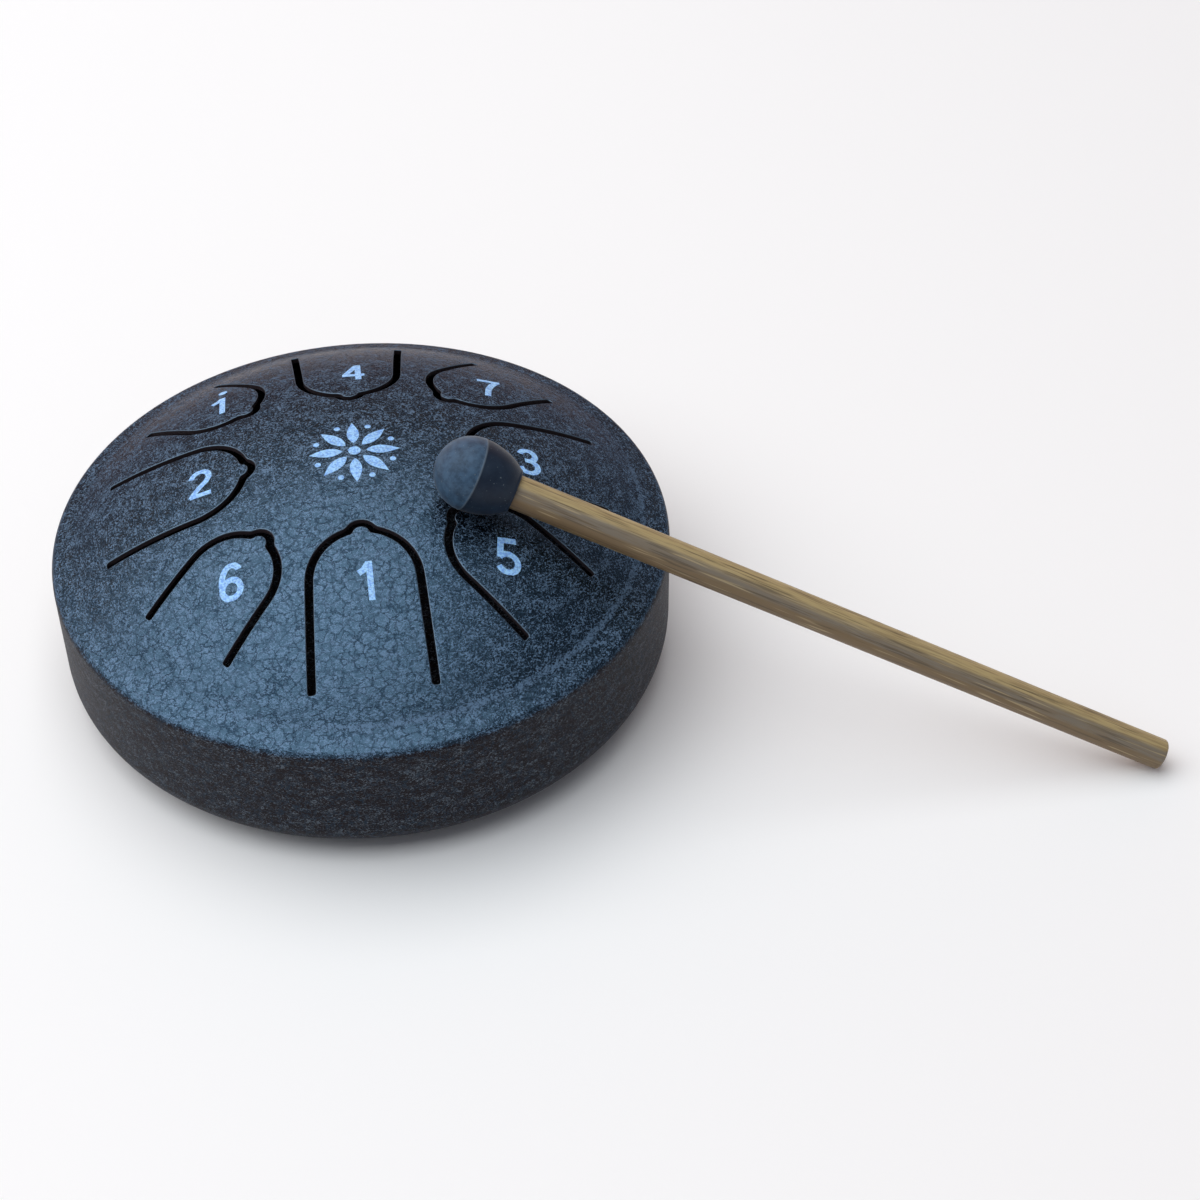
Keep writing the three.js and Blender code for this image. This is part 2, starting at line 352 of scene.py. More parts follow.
printLook = {
    "paint": colour(0.34, 0.65, 1.00),
    "worn": colour(0.17, 0.38, 0.84),
    "crack": colour(0.12, 0.18, 0.30),
    "crackShare": 0.45,
    "mottle": (1700.0, 3.0),
    "wornFrom": (0.42, 0.64),
    "rough": (0.3, 0.7, 0.45, 0.62),
    "relief": 0.08 * mm,
}


def makePrint():
    look = printLook
    material, tree, shader, coords = newMaterial("printedPaint")
    grain = placeGroup(tree, leatherGrain, {"Vector": coords, "Cell Size": coatLook["cell"]})
    mottle = noise(tree, coords, *look["mottle"])
    paint = mixColour(tree, remap(tree, mottle, *look["wornFrom"]), look["paint"], look["worn"])
    cracked = calc(tree, "MULTIPLY", grain["Cracks"], look["crackShare"])
    paint = mixColour(tree, cracked, paint, look["crack"])
    rough = remap(tree, mottle, *look["rough"])
    setFinish(tree, shader, paint, rough, bump(tree, grain["Height"], look["relief"]))
    return material


rubberLooks = {
    "headRubber": {
        "base": colour(0.008, 0.016, 0.032),
        "dust": colour(0.030, 0.054, 0.088),
        "speck": colour(0.150, 0.185, 0.205),
        "amount": 0.25,
        "patch": 3.5 * mm,
        "rough": (0.0, 0.5, 0.42, 0.66),
        "shine": {
            "Specular IOR Level": 0.2,
            "Sheen Weight": 0.10,  # dust that shows at the outline
            "Sheen Roughness": 0.3,
            "Sheen Tint": colour(1.0, 0.92, 0.80),
        },
    },
    "footRubber": {
        "base": colour(0.012, 0.012, 0.013),
        "dust": colour(0.060, 0.058, 0.055),
        "speck": colour(0.100, 0.095, 0.088),
        "amount": 0.35,
        "patch": 2.5 * mm,
        "rough": (0.0, 0.5, 0.72, 0.9),
    },
    "speckShare": 0.6,
    "relief": 0.05 * mm,
}


# tint may change the skin before the specks lie on it
def makeRubber(name, tint=None):
    look = rubberLooks[name]
    material, tree, shader, coords = newMaterial(name)
    sockets = {"Vector": coords, "Patch Size": look["patch"], "Amount": look["amount"]}
    bloom = placeGroup(tree, dustBloom, sockets)
    skin = mixColour(tree, bloom["Dust"], look["base"], look["dust"])
    if tint:
        skin = tint(tree, coords, skin)
    specks = calc(tree, "MULTIPLY", bloom["Specks"], rubberLooks["speckShare"])
    skin = mixColour(tree, specks, skin, look["speck"])
    rough = remap(tree, bloom["Dust"], *look["rough"])
    setFinish(tree, shader, skin, rough, bump(tree, bloom["Height"], rubberLooks["relief"]))
    fill(tree, shader, look.get("shine", {}))
    return material


# The ball's front half has the most bloom, and the mould line is rubbed pale
headLook = {
    "bloom": colour(0.078, 0.158, 0.262),
    "line": colour(0.130, 0.172, 0.212),
    "front": (-0.25 * mm, 0.25 * mm, 0.6, 0.0),
    "patches": (420.0, 5.0, 0.65),
    "patchy": (0.3, 0.68, 0.35, 1.0),
    "rubbedAndHighlit": (0.10 * mm, 0.32 * mm, 0.4, 0.0),
}


def makeHeadRubber(place, turn):
    look = headLook

    def bloomAndLine(tree, coords, skin):
        reach = parts(tree, alongMallet(tree, coords, place, turn))[2]
        front = remap(tree, reach, *look["front"])
        patchy = remap(tree, noise(tree, coords, *look["patches"]), *look["patchy"])
        bloom = calc(tree, "MULTIPLY", front, patchy)
        rubbedAndHighlit = remap(tree, calc(tree, "ABSOLUTE", reach), *look["rubbedAndHighlit"])
        return layered(tree, skin, (bloom, look["bloom"]), (rubbedAndHighlit, look["line"]))

    return makeRubber("headRubber", bloomAndLine)


# Coordinates with Z along the mallet from the ball's centre
def alongMallet(tree, coords, place, turn):
    sockets = {"Vector": coords, "Location": place, "Rotation": turn}
    return addNode(tree, "ShaderNodeMapping", sockets, vector_type="TEXTURE").outputs[0]


# The stick is painted in bands round it: tan on its lit side as painted light, a grey band in the middle,
# then brown on the side away from the light as painted shade.
# Its grains are given by stretch, scale and detail.
woodLook = {
    "tan": colour(0.392, 0.304, 0.144),
    "grey": colour(0.180, 0.152, 0.113),
    "brown": colour(0.168, 0.112, 0.053),
    "line": colour(0.062, 0.043, 0.025),
    "glint": colour(0.450, 0.360, 0.190),
    "towardLitSide": radians(137),
    "tanFrom": 0.9 * mm,
    "brownFrom": -1.5 * mm,
    "fade": 0.8 * mm,
    "waver": 3.0 * mm,
    "waverGrain": (55.0, 420.0, 3.0),
    "lineGrain": (32.0, 1900.0, 3.0),
    "glintGrain": (20.0, 1300.0, 1.0),
    "fibreGrain": (20.0, 2200.0, 4.0),
    "grainRough": 0.6,
    "fibresFrom": (0.44, 0.62, 0.0, 0.5),
    "glintsFrom": (0.60, 0.70, 0.0, 0.5),
    "linesFrom": (0.53, 0.64, 0.0, 0.6),
    "rough": (0.3, 0.7, 0.42, 0.62),
    "relief": 0.10 * mm,
    "reliefShare": 0.6,
}


def makeWood(place, turn):
    look = woodLook
    material, tree, shader, coords = newMaterial("sandedWood")
    local = alongMallet(tree, coords, place, turn)

    def grain(stretch, scale, detail):
        drawn = vectorCalc(tree, "MULTIPLY", {0: local, 1: (1.0, 1.0, 1.0 / stretch)})
        return noise(tree, drawn, scale, detail, look["grainRough"])

    # Painted light and shade: tan towards the stick's lit side, brown on the side away from it, grey between
    litSideReach = vectorCalc(tree, "DOT_PRODUCT", {0: local, 1: bearingWay(look["towardLitSide"])}, "Value")
    waver = calc(tree, "SUBTRACT", grain(*look["waverGrain"]), 0.5)
    litSideReach = calc(tree, "MULTIPLY_ADD", waver, look["waver"], litSideReach)

    def layerFrom(limit):
        return remap(tree, litSideReach, limit - look["fade"], limit + look["fade"])

    fibres = grain(*look["fibreGrain"])
    brown = remap(tree, fibres, *look["fibresFrom"])
    glints = remap(tree, grain(*look["glintGrain"]), *look["glintsFrom"])
    lines = remap(tree, grain(*look["lineGrain"]), *look["linesFrom"])
    layers = [(layerFrom(look["brownFrom"]), look["grey"]), (layerFrom(look["tanFrom"]), look["tan"])]
    marks = [(brown, look["brown"]), (glints, look["glint"]), (lines, look["line"])]
    skin = layered(tree, look["brown"], *layers, *marks)
    rough = remap(tree, fibres, *look["rough"])
    setFinish(tree, shader, skin, rough, bump(tree, fibres, look["relief"], look["reliefShare"]))
    return material


# Drum body: its outer sizes come from the frame's boxes
panLow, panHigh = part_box("bottom_pan")
shellLow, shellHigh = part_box("top_shell")

drum = {
    "sheet": 1.2 * mm,
    "domeRise": 23.6 * mm,
    "bandWidth": 5.5 * mm,
    "bandRise": 2.4 * mm,
    "creaseRound": 8.0 * mm,
    "shoulderRound": 2.5 * mm,
    "cornerRound": 9.0 * mm,
    "lapHeight": 5.0 * mm,
    "lapGap": 0.3 * mm,
    "turnSteps": 256,
    "creaseSteps": 5,
    "shoulderSteps": (8, 6),  # outside and inside
    "wallSteps": 6,
    "cornerSteps": (12, 10),  # outside and inside
    "holeSteps": 8,
    "floorSteps": 5,
    "ringStep": 2.4 * mm,
    "fewestInRing": 6,
    "rimGap": 0.7,  # in ring steps, as the next
    "slotGap": 0.35,
    "flatTolerance": 1e-6,  # in millimetres
    "sameSpot": 1e7,  # steps in a metre: points in the same step are one
}
axis = (panLow + panHigh) / 2
radius = (panHigh.x - panLow.x) / 2
base = panLow.z
seam = shellLow.z - drum["lapGap"] / 2
soundHole = min((v.co - axis).xy.length for v in frame["nodes"]["bottom_pan"].data.vertices)
creaseRadius = radius - drum["bandWidth"]
creaseHeight = shellHigh.z - drum["domeRise"]
domeRadius = (creaseRadius**2 + drum["domeRise"] ** 2) / (2 * drum["domeRise"])
domeCentre = shellHigh.z - domeRadius
bandAngle = atan2(drum["bandRise"], drum["bandWidth"])

coat = makeCoat(creaseHeight - drum["bandRise"], axis, creaseRadius)
printPaint = makePrint()
print("stage: materials")


def domeHeight(distance, depth=0.0):
    return domeCentre + np.sqrt((domeRadius - depth) ** 2 - np.square(distance))


def arcPoints(x, y, size, start, end, steps):
    return [(x + size * cos(a), y + size * sin(a)) for a in np.linspace(start, end, steps + 1)]


def linePoints(start, end, steps):
    return [tuple(Vector(start).lerp(end, i / steps)) for i in range(steps + 1)]


def bentPoints(start, middle, end, steps):
    first, second = linePoints(start, middle, steps), linePoints(middle, end, steps)
    return [tuple(Vector(first[i]).lerp(second[i], i / steps)) for i in range(steps + 1)]


# Points of an arc in a profile plane, each with its normal
def arcRows(x, z, size, start, end, steps, outward=1):
    ways = [(outward * cos(a), outward * sin(a)) for a in np.linspace(start, end, steps + 1)]
    return list(zip(arcPoints(x, z, size, start, end, steps), ways))


# The crease is a small round valley between the dome and the rim band
def creaseArc():
    size = drum["creaseRound"]
    along = Vector((cos(bandAngle), -sin(bandAngle)))
    lift = Vector((sin(bandAngle), cos(bandAngle))) * size
    start = Vector((creaseRadius, creaseHeight - domeCentre)) + lift
    half = start.dot(along)
    reach = -half + sqrt(half**2 - start.length_squared + (domeRadius + size) ** 2)
    centre = start + along * reach
    domeSide = atan2(-centre.y, -centre.x)
    bandSide = -quarter - bandAngle
    return centre.x, centre.y + domeCentre, domeSide, bandSide


creaseX, creaseZ, creaseStart, creaseEnd = creaseArc()
domeEdge = domeRadius * cos(creaseStart + pi)


# Section of the top from the dome's edge down the wall, and back up inside, as runs with their own normals
def topRuns():
    sheet, outer = drum["sheet"], drum["shoulderRound"]
    valley, valleySteps = drum["creaseRound"], drum["creaseSteps"]
    outerSteps, innerSteps = drum["shoulderSteps"]
    shoulderX = radius - outer
    bandEdge = creaseHeight - drum["bandRise"] + outer * tan(bandAngle)
    shoulderZ = bandEdge - outer / cos(bandAngle)
    bandNormal = quarter - bandAngle
    outside = arcRows(creaseX, creaseZ, valley, creaseStart, creaseEnd, valleySteps, -1)
    outside += arcRows(shoulderX, shoulderZ, outer, bandNormal, 0, outerSteps)
    wall = np.linspace(outside[-1][0][1], seam, drum["wallSteps"] + 1)[1:]
    outside += [((radius, z), (1, 0)) for z in wall]
    foot = [((radius, seam), (0, -1)), ((radius - sheet, seam), (0, -1))]
    inside = [((radius - sheet, seam), (-1, 0))]
    inside += arcRows(shoulderX, shoulderZ, outer - sheet, 0, bandNormal, innerSteps, -1)
    inside += arcRows(creaseX, creaseZ, valley + sheet, creaseEnd, creaseStart, valleySteps)
    return [outside, foot, inside]


# Tongues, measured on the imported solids
slot = {
    "width": 1.85 * mm,
    "flare": radians(3),
    "noseHeight": 1.7 * mm,
    "noseRadius": 2.1 * mm,
    "rootGap": 0.3 * mm,
    "corner": 0.5 * mm,
    "joinRound": 0.9 * mm,
    "edgeRound": 0.26 * mm,
    "edgeSteps": 4,
    "splitInset": 1.5 * mm,
    "bendLength": 9.0 * mm,
    "sideSteps": 12,
    "headSteps": 14,
    "noseSteps": 6,
    "cornerSteps": 3,
    "joinSteps": 5,
    "rootSteps": 10,
}


def measureTongue(joint):
    hinge = Vector(joint["pos_m"]) - axis
    bearing = atan2(hinge.y, hinge.x)
    spin = Matrix.Rotation(-bearing, 3, "Z")
    local = [spin @ (v.co - axis) for v in frame["nodes"][joint["child"]].data.vertices]
    half, flare = slot["width"] / 2, slot["flare"]
    sideways = half / cos(flare) + slot["rootGap"] * tan(flare)
    return {
        "body": joint["child"],
        "bearing": bearing,
        "root": hypot(hinge.x, hinge.y),
        "tip": min(p.x for p in local) - half,
        "halfWidth": max(p.y for p in local) + sideways,
    }


tongues = [measureTongue(joint) for joint in frame["joints"] if joint["type"] == "hinge"]


# Half of a slot's edge from its nose to its root, in the tongue's own plane with X outwards.
# side is 1 for the window's edge and -1 for the tongue's; inset is how far the line lies in the steel.
def halfEdge(tongue, side, inset):
    flare = slot["flare"]
    half = slot["width"] / 2
    offset = side * (half + inset)
    widthAtAxis = tongue["halfWidth"] - tongue["root"] * tan(flare)
    apex = tongue["tip"] + slot["noseHeight"]
    headX = (apex + widthAtAxis * cos(flare)) / (1 - sin(flare))
    size = headX - apex + offset
    noseX = apex + half - slot["noseHeight"] + slot["noseRadius"]
    nose = slot["noseRadius"] + half + offset
    reach = headX - noseX
    join = acos((reach**2 + size**2 - nose**2) / (2 * reach * size))
    noseJoin = atan2(size * sin(join), size * cos(join) - reach)
    noseEnd = pi - noseJoin + slot["joinRound"] / nose
    headStart = pi - join - slot["joinRound"] / size
    points = arcPoints(noseX, 0, nose, pi, noseEnd, slot["noseSteps"])
    head = arcPoints(headX, 0, size, headStart, quarter + flare, slot["headSteps"])
    valley = (headX - size * cos(join), size * sin(join))
    points += bentPoints(points[-1], valley, head[0], slot["joinSteps"])[1:] + head[1:]
    cornerX = tongue["root"] - slot["corner"]
    cornerY = widthAtAxis + cornerX * tan(flare) + side * (half - slot["corner"]) / cos(flare)
    cornerStart = side * quarter + flare
    corner = arcPoints(cornerX, cornerY, slot["corner"] + inset, cornerStart, 0, slot["cornerSteps"])
    splitX = tongue["root"] - slot["splitInset"]
    splitY = widthAtAxis + splitX * tan(flare) + offset / cos(flare)
    points += linePoints(points[-1], (splitX, splitY), slot["sideSteps"])[1:]
    splitIndex = len(points) - 1
    return points + corner, splitIndex


# The whole edge of a slot, anticlockwise, with the places where the tongue's side meets its root line
def slotLoop(tongue, inset):
    window, _ = halfEdge(tongue, 1, inset)
    blade, split = halfEdge(tongue, -1, inset)
    mirror = [(x, -y) for x, y in window]
    bladeMirror = [(x, -y) for x, y in blade]
    loop = window[::-1] + mirror[1:] + bladeMirror[::-1] + blade[1:]
    bladeTip = len(window) + len(mirror) + len(blade) - 2
    c, s, _ = bearingWay(tongue["bearing"])
    turned = np.array([(x * c - y * s, x * s + y * c) for x, y in loop])
    return turned, bladeTip - split, bladeTip + split


# The tiny addend only keeps level sides from dividing by nothing
def insidePolygon(points, polygon):
    inside = np.zeros(len(points), bool)
    ahead = np.roll(polygon, -1, axis=0)
    for (x0, y0), (x1, y1) in zip(polygon, ahead):
        crosses = (y0 > points[:, 1]) != (y1 > points[:, 1])
        if crosses.any():
            inside ^= crosses & (points[:, 0] < (x1 - x0) * (points[:, 1] - y0) / (y1 - y0 + 1e-15) + x0)
    return inside


def segmentDistance(points, start, end):
    along = end - start
    share = np.clip(((points - start) @ along) / (along @ along), 0, 1)
    return np.hypot(*(points - start - share[:, None] * along).T)


# Points on rings that keep the dome round between the slots
def ringPoints(outlines):
    step = drum["ringStep"]
    rings = [[(0.0, 0.0)]]
    for k in range(1, int((domeEdge - drum["rimGap"] * step) / step) + 1):
        distance = k * step
        count = max(drum["fewestInRing"], round(2 * pi * distance / step))
        angles = (np.arange(count) + 0.5 * (k % 2)) * 2 * pi / count
        rings.append(np.column_stack([distance * np.cos(angles), distance * np.sin(angles)]))
    points = np.vstack(rings)
    clear = np.full(len(points), True)
    for loop, first, last in outlines:
        clear &= ~insidePolygon(points, loop)
        for start, end in [*zip(loop, np.roll(loop, -1, axis=0)), (loop[first], loop[last])]:
            clear &= segmentDistance(points, start, end) > drum["slotGap"] * step
    return points[clear]


# Faces of one piece with a normal at every corner, so that split pieces shade as one sheet.
# The attribute slotEdge runs from 0 on the flat to 1 in the cut.
class Sheet:
    def __init__(self):
        self.points = []
        self.faces = []
        self.normals = []
        self.known = {}
        self.edges = {}

    def place(self, point):
        key = tuple(round(c * drum["sameSpot"]) for c in point)
        if key not in self.known:
            self.known[key] = len(self.points)
            self.points.append(tuple(point))
        return self.known[key]

    def add(self, points, normals, edges=()):
        face = [self.place(p) for p in points]
        self.edges.update(zip(face, edges))
        if len(set(face)) == len(face):
            self.faces.append(face)
            self.normals += [tuple(n) for n in normals]

    # A face whose corners are picked by row and place
    def addFrom(self, points, normals, corners, edges=()):
        self.add([points[a][b] for a, b in corners], [normals[a][b] for a, b in corners], edges)

    # A triangle of the upper side and the one below it
    def addBoth(self, corners, high, low, normals):
        self.add([high[i] for i in corners], [normals[i] for i in corners])
        self.add([low[i] for i in corners[::-1]], [-normals[i] for i in corners[::-1]])

    def toPiece(self, name, material):
        mesh = bpy.data.meshes.new(name)
        mesh.from_pydata(self.points, [], self.faces, shade_flat=False)
        mesh.normals_split_custom_set(self.normals)
        edges = [self.edges.get(i, 0.0) for i in range(len(self.points))]
        mesh.attributes.new("slotEdge", "FLOAT", "POINT").data.foreach_set("value", edges)
        mesh.materials.append(material)
        return addObject(name, mesh)


def onDome(flat, depth=0.0):
    return [(x + axis.x, y + axis.y, domeHeight(hypot(x, y), depth)) for x, y in flat]


def domeNormals(flat):
    rise = np.sqrt(domeRadius**2 - np.sum(np.square(flat), axis=1))
    return np.column_stack([flat, rise]) / domeRadius


shellKey, cutAway = -1, -2  # owners of the triangles outside the tongues


# The top: one sheet with eight slots, cut into the shell and eight blades that meet along their roots
def makeTop():
    sheet = drum["sheet"]
    angles = np.arange(drum["turnSteps"]) * 2 * pi / drum["turnSteps"]
    circle = np.column_stack([np.cos(angles), np.sin(angles)])
    edgeAngles = np.linspace(0, quarter, slot["edgeSteps"] + 1)
    insets = [slot["edgeRound"] * (1 - cos(a)) for a in edgeAngles]
    levels = [[slotLoop(tongue, inset) for inset in insets] for tongue in tongues]
    outlines = [rows[-1] for rows in levels]
    flat = [domeEdge * circle]
    count = len(circle)
    edges = [(i, (i + 1) % count) for i in range(count)]
    loopStarts = []
    rootLines = []
    for loop, first, last in outlines:
        loopStarts.append(count)
        edges += [(count + i, count + (i + 1) % len(loop)) for i in range(len(loop))]
        rootStart = count + len(loop)
        root = np.array(linePoints(loop[last], loop[first], slot["rootSteps"]))[1:-1]
        chain = [count + last, *range(rootStart, rootStart + len(root)), count + first]
        edges += list(zip(chain, chain[1:]))
        rootLines.append(chain)
        flat += [loop, root]
        count = rootStart + len(root)
    flat = np.vstack([*flat, ringPoints(outlines)])
    result = delaunay_2d_cdt([Vector(p / mm) for p in flat], edges, [], 0, drum["flatTolerance"])
    assert len(result[0]) == len(flat)
    triangles = np.array(result[2])
    middles = flat[triangles].mean(axis=1)
    owner = np.full(len(triangles), shellKey)
    for k, (loop, first, last) in enumerate(outlines):
        owner[insidePolygon(middles, loop)] = cutAway
        owner[insidePolygon(middles, loop[first : last + 1])] = k
    under = flat.copy()
    under[: len(circle)] = (domeRadius - sheet) * cos(creaseStart + pi) * circle
    for start, rows in zip(loopStarts, levels):
        under[start : start + len(rows[0][0])] = rows[0][0]
    high = onDome(flat)
    low = onDome(under, sheet)
    normals = domeNormals(flat)
    sheets = {k: Sheet() for k in range(shellKey, len(tongues))}
    for triangle, who in zip(triangles, owner):
        if who != cutAway:
            sheets[who].addBoth(triangle, high, low, normals)
    for k, rows in enumerate(levels):
        addSlotEdges(sheets, k, rows, edgeAngles)
        addRootCut(sheets, k, rows, edgeAngles, flat[rootLines[k]])
    addRim(sheets[shellKey], circle, high[: len(circle)], low[: len(circle)])
    return sheets


# Rounded edge and cut face all along one slot
def addSlotEdges(sheets, k, rows, edgeAngles):
    lowest, first, last = rows[0]
    loops = [lowest] + [row[0] for row in rows]
    depths = [drum["sheet"]] + [slot["edgeRound"] * (1 - sin(a)) for a in edgeAngles]
    leans = [0.0, *edgeAngles]
    points = [onDome(loop, depth) for loop, depth in zip(loops, depths)]
    along = np.roll(lowest, -1, axis=0) - np.roll(lowest, 1, axis=0)
    inward = np.column_stack([-along[:, 1], along[:, 0], np.zeros(len(along))])
    inward /= np.linalg.norm(inward, axis=1)[:, None]
    upward = domeNormals(rows[-1][0])
    normals = [cos(a) * inward + sin(a) * upward for a in leans]
    for i in range(len(along)):
        ahead = (i + 1) % len(along)
        who = k if first <= i < last else shellKey
        for low in range(len(loops) - 1):
            corners = [(low, i), (low + 1, i), (low + 1, ahead), (low, ahead)]
            sheets[who].addFrom(points, normals, corners, [1 - leans[a] / leans[-1] for a, _ in corners])


# The section at a tongue's root, hidden in the steel, closes the blade and the shell
def addRootCut(sheets, k, rows, edgeAngles, rootLine):
    lowest, first, last = rows[0]
    depths = [slot["edgeRound"] * (1 - sin(a)) for a in edgeAngles]

    def edgeAt(place):
        return [onDome([row[0][place]], depth)[0] for row, depth in zip(rows, depths)]

    top = onDome(rootLine[1:-1])
    low = onDome([lowest[last], *rootLine[1:-1], lowest[first]], drum["sheet"])
    section = edgeAt(last) + top + edgeAt(first)[::-1] + low[::-1]
    outward = bearingWay(tongues[k]["bearing"])
    inward = tuple(-c for c in outward)
    sheets[k].add(section, [outward] * len(section))
    sheets[shellKey].add(section[::-1], [inward] * len(section))


# Crease, rim band, shoulder and wall, turned round the axis between the dome's outer and inner edge
def addRim(shell, circle, outerEdge, innerEdge):
    runs = topRuns()
    rings = []
    for run in runs:
        rings.append([[(axis.x + p[0] * c, axis.y + p[0] * s, p[1]) for c, s in circle] for p, _ in run])
    rings[0][0] = outerEdge
    rings[-1][-1] = innerEdge
    for run, ring in zip(runs, rings):
        leans = [[(n[0] * c, n[0] * s, n[1]) for c, s in circle] for _, n in run]
        for row in range(len(run) - 1):
            for i in range(len(circle)):
                ahead = (i + 1) % len(circle)
                shell.addFrom(ring, leans, [(row, i), (row + 1, i), (row + 1, ahead), (row, ahead)])


topSheets = makeTop()
shell = topSheets[shellKey].toPiece("shellTop", coat)
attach(shell, "drum")
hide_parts("top_shell")
for k, tongue in enumerate(tongues):
    blade = topSheets[k].toPiece("blade" + tongue["body"].removeprefix("tongue"), coat)
    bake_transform(blade)
    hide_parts(tongue["body"])
print("stage: top with", len(tongues), "tongues")


# Geometry trees: their inputs have the names of a piece's own values, and all of them have these
setting = {"place": (0.0, 0.0, 0.0), "turn": (0.0, 0.0, 0.0), "finish": "Material"}
weld = {"turned": 0.002 * mm, "leaf": 0.01 * mm, "film": 0.004 * mm}


def here(tree):
    return parts(tree, shape(tree, "InputPosition"))


def moveTo(tree, geometry, place):
    return shape(tree, "SetPosition", {"Geometry": geometry, "Position": place})


def mergeNear(tree, geometry, distance):
    return shape(tree, "MergeByDistance", {"Geometry": geometry, "Distance": distance})


# Sets a shape in its place, makes its copies real and gives it its finish
def settle(tree, given, made, geometry):
    sockets = {"Geometry": geometry, "Translation": given["place"], "Rotation": given["turn"]}
    whole = shape(tree, "RealizeInstances", {"Geometry": shape(tree, "Transform", sockets)})
    painted = shape(tree, "SetMaterial", {"Geometry": whole, "Material": given["finish"]})
    fill(tree, made, {"Geometry": painted})
    return tree


# Turned pieces: a profile of radius and height, swept round Z, then set in place
def makeTurnedTree():
    inputs = {"profile": "Geometry", "points": 10, "turnSteps": 128, "sharpAngle": radians(32), **setting}
    tree, given, made = newTree("turnedPiece", "Geometry", inputs, ["Geometry"])
    columns = calc(tree, "ADD", given["turnSteps"], 1.0)
    sizes = {"Vertices X": given["points"], "Vertices Y": columns, "Size X": 1.0, "Size Y": 1.0}
    grid = shape(tree, "MeshGrid", sizes)
    spot = here(tree)
    lastPoint = calc(tree, "SUBTRACT", given["points"], 1.0)
    along = calc(tree, "ROUND", calc(tree, "MULTIPLY", calc(tree, "ADD", spot[0], 0.5), lastPoint))
    angle = calc(tree, "MULTIPLY", calc(tree, "ADD", spot[1], 0.5), 2 * pi)
    picked = {"Geometry": given["profile"], "Value": shape(tree, "InputPosition"), "Index": along}
    section = parts(tree, shape(tree, "SampleIndex", picked, data_type="FLOAT_VECTOR", domain="POINT"))
    x = calc(tree, "MULTIPLY", section[0], calc(tree, "SINE", angle))
    y = calc(tree, "MULTIPLY", section[0], calc(tree, "COSINE", angle))
    swept = moveTo(tree, grid, combine(tree, x, y, section[2]))
    smooth = shape(tree, "SetShadeSmooth", {"Geometry": mergeNear(tree, swept, weld["turned"])})
    bend = addNode(tree, "GeometryNodeInputMeshEdgeAngle").outputs["Unsigned Angle"]
    limits = {0: bend, 1: given["sharpAngle"]}
    sharp = addNode(tree, "FunctionNodeCompare", limits, data_type="FLOAT", operation="GREATER_THAN")
    edges = {"Geometry": smooth, "Selection": sharp.outputs[0], "Shade Smooth": False}
    return settle(tree, given, made, shape(tree, "SetShadeSmooth", edges, domain="EDGE"))


turnedPiece = makeTurnedTree()


# Runs a geometry tree on a profile and keeps its result as a plain mesh
def growPiece(name, tree, points, values):
    profile = bpy.data.meshes.new(name + "Profile")
    profile.from_pydata([(x, 0, z) for x, z in points], [(i, i + 1) for i in range(len(points) - 1)], [])
    worker = addObject(name + "Worker", profile)
    modifier = worker.modifiers.new("shape", "NODES")
    modifier.node_group = tree
    values = {"points": len(points), **values}
    for item in tree.interface.items_tree:
        if item.in_out == "INPUT" and item.name in values:
            modifier[item.identifier] = values[item.name]
    graph = bpy.context.evaluated_depsgraph_get()
    mesh = bpy.data.meshes.new_from_object(worker.evaluated_get(graph))
    mesh.name = name
    worker.modifiers.remove(modifier)
    bpy.data.objects.remove(worker)
    return addObject(name, mesh)


# Bottom pan: flat floor with a rounded hole edge, rounded corner, and a rim stepped in under the wall
def panProfile():
    sheet, corner = drum["sheet"], drum["cornerRound"]
    edge = sheet / 2
    outerSteps, innerSteps = drum["cornerSteps"]
    cornerX, cornerZ = radius - corner, base + corner
    lapOuter = radius - sheet - drum["lapGap"]
    lapTop = seam + drum["lapHeight"]
    points = arcPoints(soundHole + edge, base + edge, edge, quarter, 3 * quarter, drum["holeSteps"])
    points += linePoints(points[-1], (cornerX, base), drum["floorSteps"])[1:-1]
    points += arcPoints(cornerX, cornerZ, corner, -quarter, 0, outerSteps)
    points += [(radius, seam), (lapOuter, seam), (lapOuter, lapTop), (lapOuter - sheet, lapTop)]
    points += [(lapOuter - sheet, seam - sheet), (radius - sheet, seam - sheet)]
    points += arcPoints(cornerX, cornerZ, corner - sheet, 0, -quarter, innerSteps)
    points += linePoints(points[-1], (soundHole + edge, base + sheet), drum["floorSteps"])[1:]
    return points


underDrum = (axis.x, axis.y, 0.0)
pan = growPiece("bottomPan", turnedPiece, panProfile(), {**drum, "place": underDrum, "finish": coat})
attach(pan, "drum")
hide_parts("bottom_pan")
print("stage: bottom pan")

# Rubber feet: one turned foot, set three times round the pan
footLow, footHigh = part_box("foot_front")
foot = {
    "radius": (footHigh.x - footLow.x) / 2,
    "height": footHigh.z - footLow.z,
    "ring": axis.y - (footLow.y + footHigh.y) / 2,
    "count": 3,
    "place": underDrum,
    "turn": (0.0, 0.0, radians(-90)),
    "finish": makeRubber("footRubber"),
    "edgeRound": 0.8 * mm,
    "edgeSteps": 6,
    "dish": 0.35 * mm,
    "dishInset": 2.2,  # in edge radii
    "dishBend": (0.6, 0.8),  # shares of its radius and depth
    "turnSteps": 64,
}


